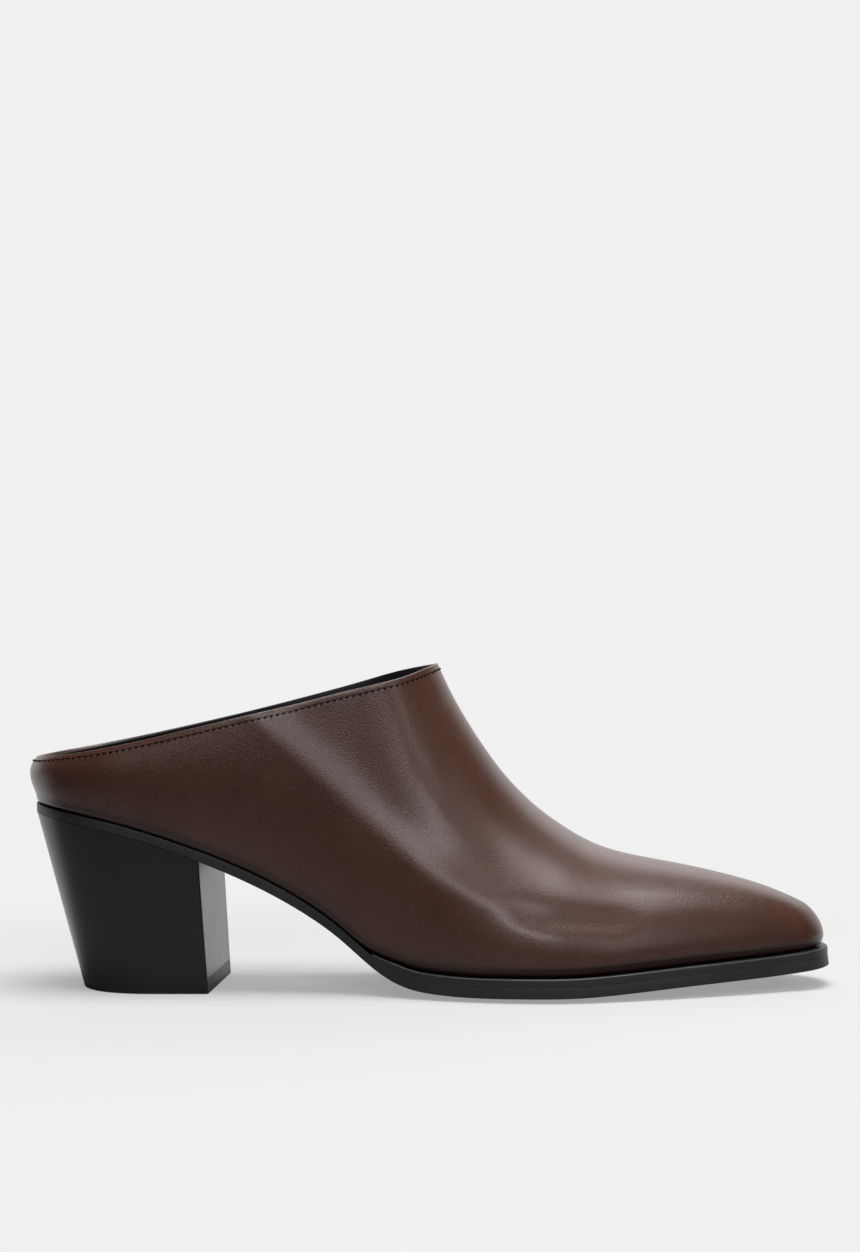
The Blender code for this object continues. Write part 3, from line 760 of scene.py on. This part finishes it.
# Lengths in metres; the stand and the bow are shares of the sink, and the buried part of the radius
stitchSettings = {
    "edge": 0.0018, "pitch": 0.0021, "length": 0.00150, "radius": 0.00028, "sink": 0.00030,
    "slant": 0.16, "rows": 7, "around": 8, "samples": 1200, "sampleStep": 3, "ahead": 0.0005,
    "stand": 0.75, "bow": 1.5, "buried": 0.4, "skinFrom": 0.06, "parts": 12,
}


def snapToSkin(points, settings):
    # the nearest point of the skin's grid, then along its plane
    skinPoints = np.concatenate([skin.reshape(-1, 3) for skin, _ in skins.values()])
    skinNormals = np.concatenate([normals.reshape(-1, 3) for _, normals in skins.values()])
    near = skinPoints[:, 2] > settings["skinFrom"]
    skinPoints, skinNormals = skinPoints[near], skinNormals[near]
    found = []
    for part in np.array_split(points, settings["parts"]):
        found.append(np.argmin(((skinPoints[None] - part[:, None]) ** 2).sum(-1), axis=1))
    found = np.concatenate(found)
    normals = skinNormals[found]
    off = ((points - skinPoints[found]) * normals).sum(-1, keepdims=True)
    return points - off * normals, normals


def runLengths(line):
    # the sum of the steps' lengths up to each point
    return np.concatenate([[0], np.cumsum(np.linalg.norm(np.diff(line, axis=0), axis=-1))])


def pointsAt(at, run, line):
    return np.stack([np.interp(at, run, line[:, k]) for k in range(3)], axis=-1)


def makeStitches(settings):
    # a row at a set distance from the collar; each stitch is a bent lens: its radius is the root of
    # one less the squared share along it, and its middle stands out by a share of the sink
    closed = np.concatenate([collarLine, collarLine[:1]])
    step = np.linalg.norm(np.diff(closed, axis=0), axis=-1)
    closed = closed[np.concatenate([[True], step > 1e-6])]
    run = runLengths(closed)
    edge = pointsAt(np.linspace(0, run[-1], settings["samples"], endpoint=False), run, closed)
    near = settings["sampleStep"]
    line = unit(np.roll(edge, -near, axis=0) - np.roll(edge, near, axis=0))
    _, normals = snapToSkin(edge, settings)
    down = unit(np.cross(normals, line))
    down *= -np.sign(down[:, 2:])
    row, _ = snapToSkin(edge + settings["edge"] * down, settings)
    loop = np.concatenate([row, row[:1]])
    run = runLengths(loop)
    count = int(run[-1] / settings["pitch"])
    at = (np.arange(count) + 0.5) * run[-1] / count
    centre, normals = snapToSkin(pointsAt(at, run, loop), settings)
    line = pointsAt((at + settings["ahead"]) % run[-1], run, loop) - centre
    line = unit(line - (line * normals).sum(-1, keepdims=True) * normals)
    beside = np.cross(normals, line)
    line, beside = line + settings["slant"] * beside, beside - settings["slant"] * line
    u = np.linspace(-1, 1, settings["rows"])[None, :, None, None]
    v = np.linspace(0, 2 * np.pi, settings["around"] + 1)[None, None, :, None]
    radius = settings["radius"] * np.sqrt(np.maximum(1 - u**2, 0))
    stand = settings["sink"] * (settings["stand"] - settings["bow"] * u**2)
    stand = stand - settings["buried"] * settings["radius"]
    centre, line, beside, out = [a[:, None, None, :] for a in (centre, line, beside, normals)]
    points = centre + settings["length"] / 2 * u * line + radius * np.cos(v) * beside
    points = points + (stand + radius * np.sin(v)) * out
    buildPiece("collar_stitches", [points], blacks["dark_thread"], None, weld=1e-7)
    print("stitches:", count)


makeStitches(stitchSettings)

soleSettings = {
    "tip": 12, "vamp": 110, "side": 80, "back": 30, "columns": 14, "edgeRound": 0.0003,
    "topRound": 0.00012, "gap": 0.00002, "sockRound": 0.0012,
}


def soleReach(along):
    return lastSizes["weltEdge"] * curve(edgeTable, "reach", along)


def soleGrids(along, profile, low, high):
    # columns go from the middle of the underside out to the edge, up its profile and back in on top;
    # each is a share of the way from the middle to the outline at that column's inset
    grids = []
    for side in (outerSide, innerSide):
        columns = []
        for share, inset, rise in profile:
            x, edgeY = outline(along, side, inset)
            middle = centreLine(along)
            y = middle + (edgeY - middle) * share
            columns.append(np.stack([x, y, low(x, y) + (high(x, y) - low(x, y)) * rise], axis=-1))
        grids.append(np.stack(columns, axis=1))
    return grids


def edgeProfile(columns, bottomInset, topInset, radius, topRadius, thickness):
    # quarter circles at the lower and the upper corner, and a straight run between them
    inward = np.sin(np.linspace(0, np.pi / 2, columns + 1))
    corner = np.linspace(0, np.pi / 2, 5)
    share, topShare = radius / thickness, topRadius / thickness
    low = [(1, bottomInset + radius * (1 - np.sin(t)), share * (1 - np.cos(t))) for t in corner]
    high = [(1, topInset + topRadius * (1 - np.cos(t)), 1 - topShare * (1 - np.sin(t))) for t in corner]
    under = [(share, low[0][1], 0) for share in inward[:-1]]
    over = [(share, high[-1][1], 1) for share in inward[:-1][::-1]]
    return under + low + high + over


def makeOutsole(settings):
    s = lastSizes
    along = stations(settings)
    reach = soleReach(along)
    slant = s["edgeSlant"] * ease(s["weltStart"], s["weltFull"], along)
    rounds = settings["edgeRound"], settings["topRound"]
    profile = edgeProfile(settings["columns"], -reach - slant, -reach, *rounds, s["outsoleThickness"])
    raised = lambda x, y: soleTop(x, y) + s["fitGap"] - settings["gap"]
    grids = soleGrids(along, profile, soleBottom, raised)
    buildPiece("outsole_rubber", grids, blacks["sole_edge"], "outsole", sharpAngle=50)


def makeSock(settings):
    s = lastSizes
    along = stations(settings)
    inset = s["wall"] + 2 * s["fitGap"] + s["toeRoom"] * ease(s["noseStart"], 1, along)
    rounds = settings["sockRound"], settings["sockRound"]
    profile = edgeProfile(settings["columns"], inset, inset, *rounds, s["insoleThickness"])
    low = lambda x, y: upperFoot(x, y) + s["wall"] + s["fitGap"]
    high = lambda x, y: low(x, y) + s["insoleThickness"]
    grids = soleGrids(along, profile, low, high)
    buildPiece("sock_lining", grids, blacks["sock_leather"], "insole", sharpAngle=60)


weltSettings = {
    "tip": 12, "vamp": 110, "side": 80, "back": 30, "width": 0.0070, "widthShare": 0.5,
    "round": 0.0006, "roundShare": 2.5, "thinnest": 0.0004, "lowGap": 0.00002, "highGap": 0.0001,
}


def makeWelt(settings):
    # a ring section carried round the foot: flat below, rounded at the outer top corner
    s = lastSizes
    along = stations(settings)
    thickness = weltRise(along) - s["fitGap"]
    kept = thickness > settings["thinnest"]
    along, thickness = along[kept], thickness[kept]
    reach = soleReach(along)
    inside = np.minimum(settings["width"], settings["widthShare"] * halfWidth(along))
    radius = np.minimum(settings["round"], thickness / settings["roundShare"])
    grids = []
    for side in (outerSide, innerSide):
        low = -s["fitGap"] - thickness + settings["lowGap"]
        high = -s["fitGap"] + settings["highGap"]
        line = [levelLine(along, side, inside, low), levelLine(along, side, -reach, low)]
        for t in np.linspace(0, np.pi / 2, 6):
            inward, down = radius * (1 - np.cos(t)), radius * (1 - np.sin(t))
            line.append(levelLine(along, side, -reach + inward, high - down))
        line += [levelLine(along, side, inside, high), levelLine(along, side, inside, low)]
        ring = np.stack(line, axis=1)
        middle = ring[-1, :-1].mean(axis=0)
        grids += [ring, np.stack([ring[-1], np.broadcast_to(middle, ring[-1].shape)], axis=1)]
    buildPiece("welt_strip", grids, blacks["welt_edge"], "welt", sharpAngle=50)


makeOutsole(soleSettings)
makeSock(soleSettings)
makeWelt(weltSettings)

heelSettings = {
    "stations": 54, "breastColumns": 30, "levels": 44, "liftLevels": 6, "cornerSteps": 6, "spare": 0.002,
}


def heelPlan(back, length, half, centre, corner, forward, aside):
    # the half width is drawn in round the back and, in a small quarter circle, at the breast's edges
    half = half * rounding(forward * length, corner, 2)
    edge = np.clip(1 - (1 - forward) * length / heelSizes["cornerRound"], 0, 1)
    half = half - heelSizes["cornerRound"] * (1 - np.sqrt(1 - edge**2))
    across = half * aside
    x = back + forward * length + heelSizes["breastSkew"] * across * forward
    return np.stack([x, centre + across], axis=-1)


def heelShape(forward, aside, low, high, levels):
    # each wall point lies on the straight line from the outline on the floor to the one at the seat
    h = heelSizes
    seatLength = h["breastPlace"] - h["inset"]
    along = (h["inset"] + forward * seatLength) / lastSizes["footLength"]
    seat = heelPlan(
        seatBack + h["inset"], seatLength, halfWidth(along) - h["inset"], centreLine(along),
        lastSizes["seatRound"], forward, aside,
    )
    base = heelPlan(
        heelBack, h["baseLength"], h["baseWidth"] / 2, 0 * along, h["baseRound"], forward, aside,
    )
    seatHeight = soleBottom(seat[..., 0], seat[..., 1]) - h["seatGap"]
    top = seatHeight if high is None else np.full_like(seatHeight, high)
    height = low + (top - low) * np.linspace(0, 1, levels + 1)[:, None]
    plan = base + (seat - base) * (height / seatHeight)[..., None]
    return np.concatenate([plan, height[..., None]], axis=-1)


def makeHeelPiece(name, material, nodeName, low, high, levels):
    # shares of the heel's length, packed closer at the back and again round the breast's edges
    back = 1 - np.cos(np.linspace(0, np.pi / 2, heelSettings["stations"] + 1))
    turn = np.linspace(0, np.pi / 2, heelSettings["cornerSteps"] + 1)
    tight = 1 - heelSizes["cornerRound"] / heelSizes["breastPlace"] * (1 - np.sin(turn))
    forward = np.concatenate([back[back < tight[0] - heelSettings["spare"]], tight])
    ones = np.ones_like(forward)
    loop = np.concatenate([forward[::-1], forward[1:]])
    asides = np.concatenate([-ones, ones[1:]])
    span = np.linspace(-1, 1, heelSettings["breastColumns"] + 1)
    walls = heelShape(loop, asides, low, high, levels)
    breast = heelShape(np.ones_like(span), span, low, high, levels)
    caps = np.stack([heelShape(forward, ones * a, low, high, 1) for a in span], axis=2)
    buildPiece(name, [walls, breast, caps[0], caps[1]], material, nodeName, sharpAngle=40)


seam = heelSizes["liftThickness"]
makeHeelPiece(
    "heel_block", blacks["heel_paint"], "heel",
    seam + heelSizes["seamGap"], None, heelSettings["levels"],
)
makeHeelPiece(
    "lift_block", blacks["lift_rubber"], "top_lift",
    0.0, seam, heelSettings["liftLevels"],
)

stageSettings = {
    "floorHalf": 8.0, "backdrop": 0.875, "own": 0.32, "floorLight": 0.40, "bounce": 0.26,
    "bounceFar": 0.02, "behindFrom": -0.01, "behindTo": 0.06, "tableFrom": 0.24, "tableTo": 0.42,
    "fadeFrom": 0.125, "fadeTo": 0.33, "front": 0.05, "skyFrom": 0.30, "skyTo": 0.80,
    "centre": (0.09, 0.0, 0.0),
}
# Soft boxes round the point they aim at: degrees round from the camera towards the toe, degrees up
# from the floor, distance, width, height, and power
lightsAim = (0.10, 0.0, 0.045)
lights = {
    "front_strip": (11, 31, 1.25, 0.36, 0.26, 1.5),
    "side_strip": (-3, 31, 1.25, 0.28, 0.26, 1.25),
    "toe_panel": (41, 22, 1.25, 0.22, 0.62, 0.9),
    "front_panel": (56, 44, 1.30, 1.10, 0.50, 0.3),
    "top_box": (60, 85, 1.30, 0.80, 0.76, 20.0),
    "vamp_box": (66, 59, 1.30, 0.40, 0.25, 0.7),
    "back_box": (160, 33, 1.30, 0.90, 0.45, 0.8),
    "left_box": (-120, 8, 1.30, 0.70, 0.26, 0.25),
    "right_box": (118, 14, 1.30, 0.30, 0.40, 0.2),
}


def makeStage(settings):
    half = settings["floorHalf"]
    mesh = bpy.data.meshes.new("floor")
    corners = [(-half, -half, 0), (half, -half, 0), (half, half, 0), (-half, half, 0)]
    mesh.from_pydata(corners, [], [(0, 1, 2, 3)])
    floor = addObject("floor", mesh)
    material, tree, shader, place = startMaterial("pale_floor")
    # near the shoe the floor takes light and shadow, and further off it has the backdrop's even tone
    links = {"i0": place, "i1": settings["centre"]}
    away = addNode(tree, "ShaderNodeVectorMath", {"operation": "DISTANCE"}, **links).outputs["Value"]
    fade = rangeNode(tree, away, settings["fadeFrom"], settings["fadeTo"], 0.0, 1.0, True)
    matt = {"Roughness": 1.0, "Specular IOR Level": 0.0}
    feedAll(tree, shader, {"Base Color": (*[settings["floorLight"]] * 3, 1), **matt})
    feedAll(tree, shader, {"Emission Color": (1, 1, 1, 1), "Emission Strength": settings["own"]})
    even = addNode(tree, "ShaderNodeEmission", None, Strength=settings["backdrop"])
    ends = settings["tableFrom"], settings["tableTo"], settings["bounce"], settings["bounceFar"]
    near = rangeNode(tree, away, *ends, True)
    dim = addNode(tree, "ShaderNodeBsdfDiffuse", None, Color=near)
    depthOf = addNode(tree, "ShaderNodeSeparateXYZ", None, Vector=place).outputs["Y"]
    behind = rangeNode(tree, depthOf, settings["behindFrom"], settings["behindTo"], 0.0, 1.0, True)
    around = addNode(tree, "ShaderNodeMixShader", None, i0=behind, i1=dim.outputs[0], i2=even.outputs[0])
    seen = addNode(tree, "ShaderNodeMixShader", None, i0=fade, i1=shader.outputs[0], i2=even.outputs[0])
    direct = tree.nodes.new("ShaderNodeLightPath").outputs["Is Camera Ray"]
    both = addNode(tree, "ShaderNodeMixShader", None, i0=direct, i1=around.outputs[0], i2=seen.outputs[0])
    tree.links.new(both.outputs[0], tree.nodes["Material Output"].inputs["Surface"])
    mesh.materials.append(material)
    # the room is pale behind the shoe and dim on the camera's side; seen directly it is pale all round
    world = bpy.data.worlds.new("studio")
    world.use_nodes = True
    sky = world.node_tree
    way = sky.nodes.new("ShaderNodeTexCoord").outputs["Generated"]
    depthOf = addNode(sky, "ShaderNodeSeparateXYZ", None, Vector=way).outputs["Y"]
    ends = settings["skyFrom"], settings["skyTo"], settings["front"], settings["backdrop"]
    power = rangeNode(sky, depthOf, *ends, True)
    direct = sky.nodes.new("ShaderNodeLightPath").outputs["Is Camera Ray"]
    power = rangeNode(sky, direct, 0.0, 1.0, power, settings["backdrop"])
    sky.links.new(power, sky.nodes["Background"].inputs["Strength"])
    sky.nodes["Background"].inputs["Color"].default_value = (1, 1, 1, 1)
    bpy.context.scene.world = world


def makeLights(settings, aim):
    for name, (across, climb, far, width, height, power) in settings.items():
        data = bpy.data.lights.new(name, "AREA")
        data.shape, data.size, data.size_y = "RECTANGLE", width, height
        data.energy = power
        turn, up = np.radians(across), np.radians(climb)
        lamp = addObject(name, data)
        way = Vector((np.sin(turn) * np.cos(up), -np.cos(turn) * np.cos(up), np.sin(up)))
        lamp.location = Vector(aim) + far * way
        lamp.rotation_euler = (-way).to_track_quat("-Z", "Y").to_euler()
        lamp.visible_camera = False


makeStage(stageSettings)
makeLights(lights, lightsAim)
bpy.context.scene.view_settings.view_transform = "Standard"
print("stage and lights made")
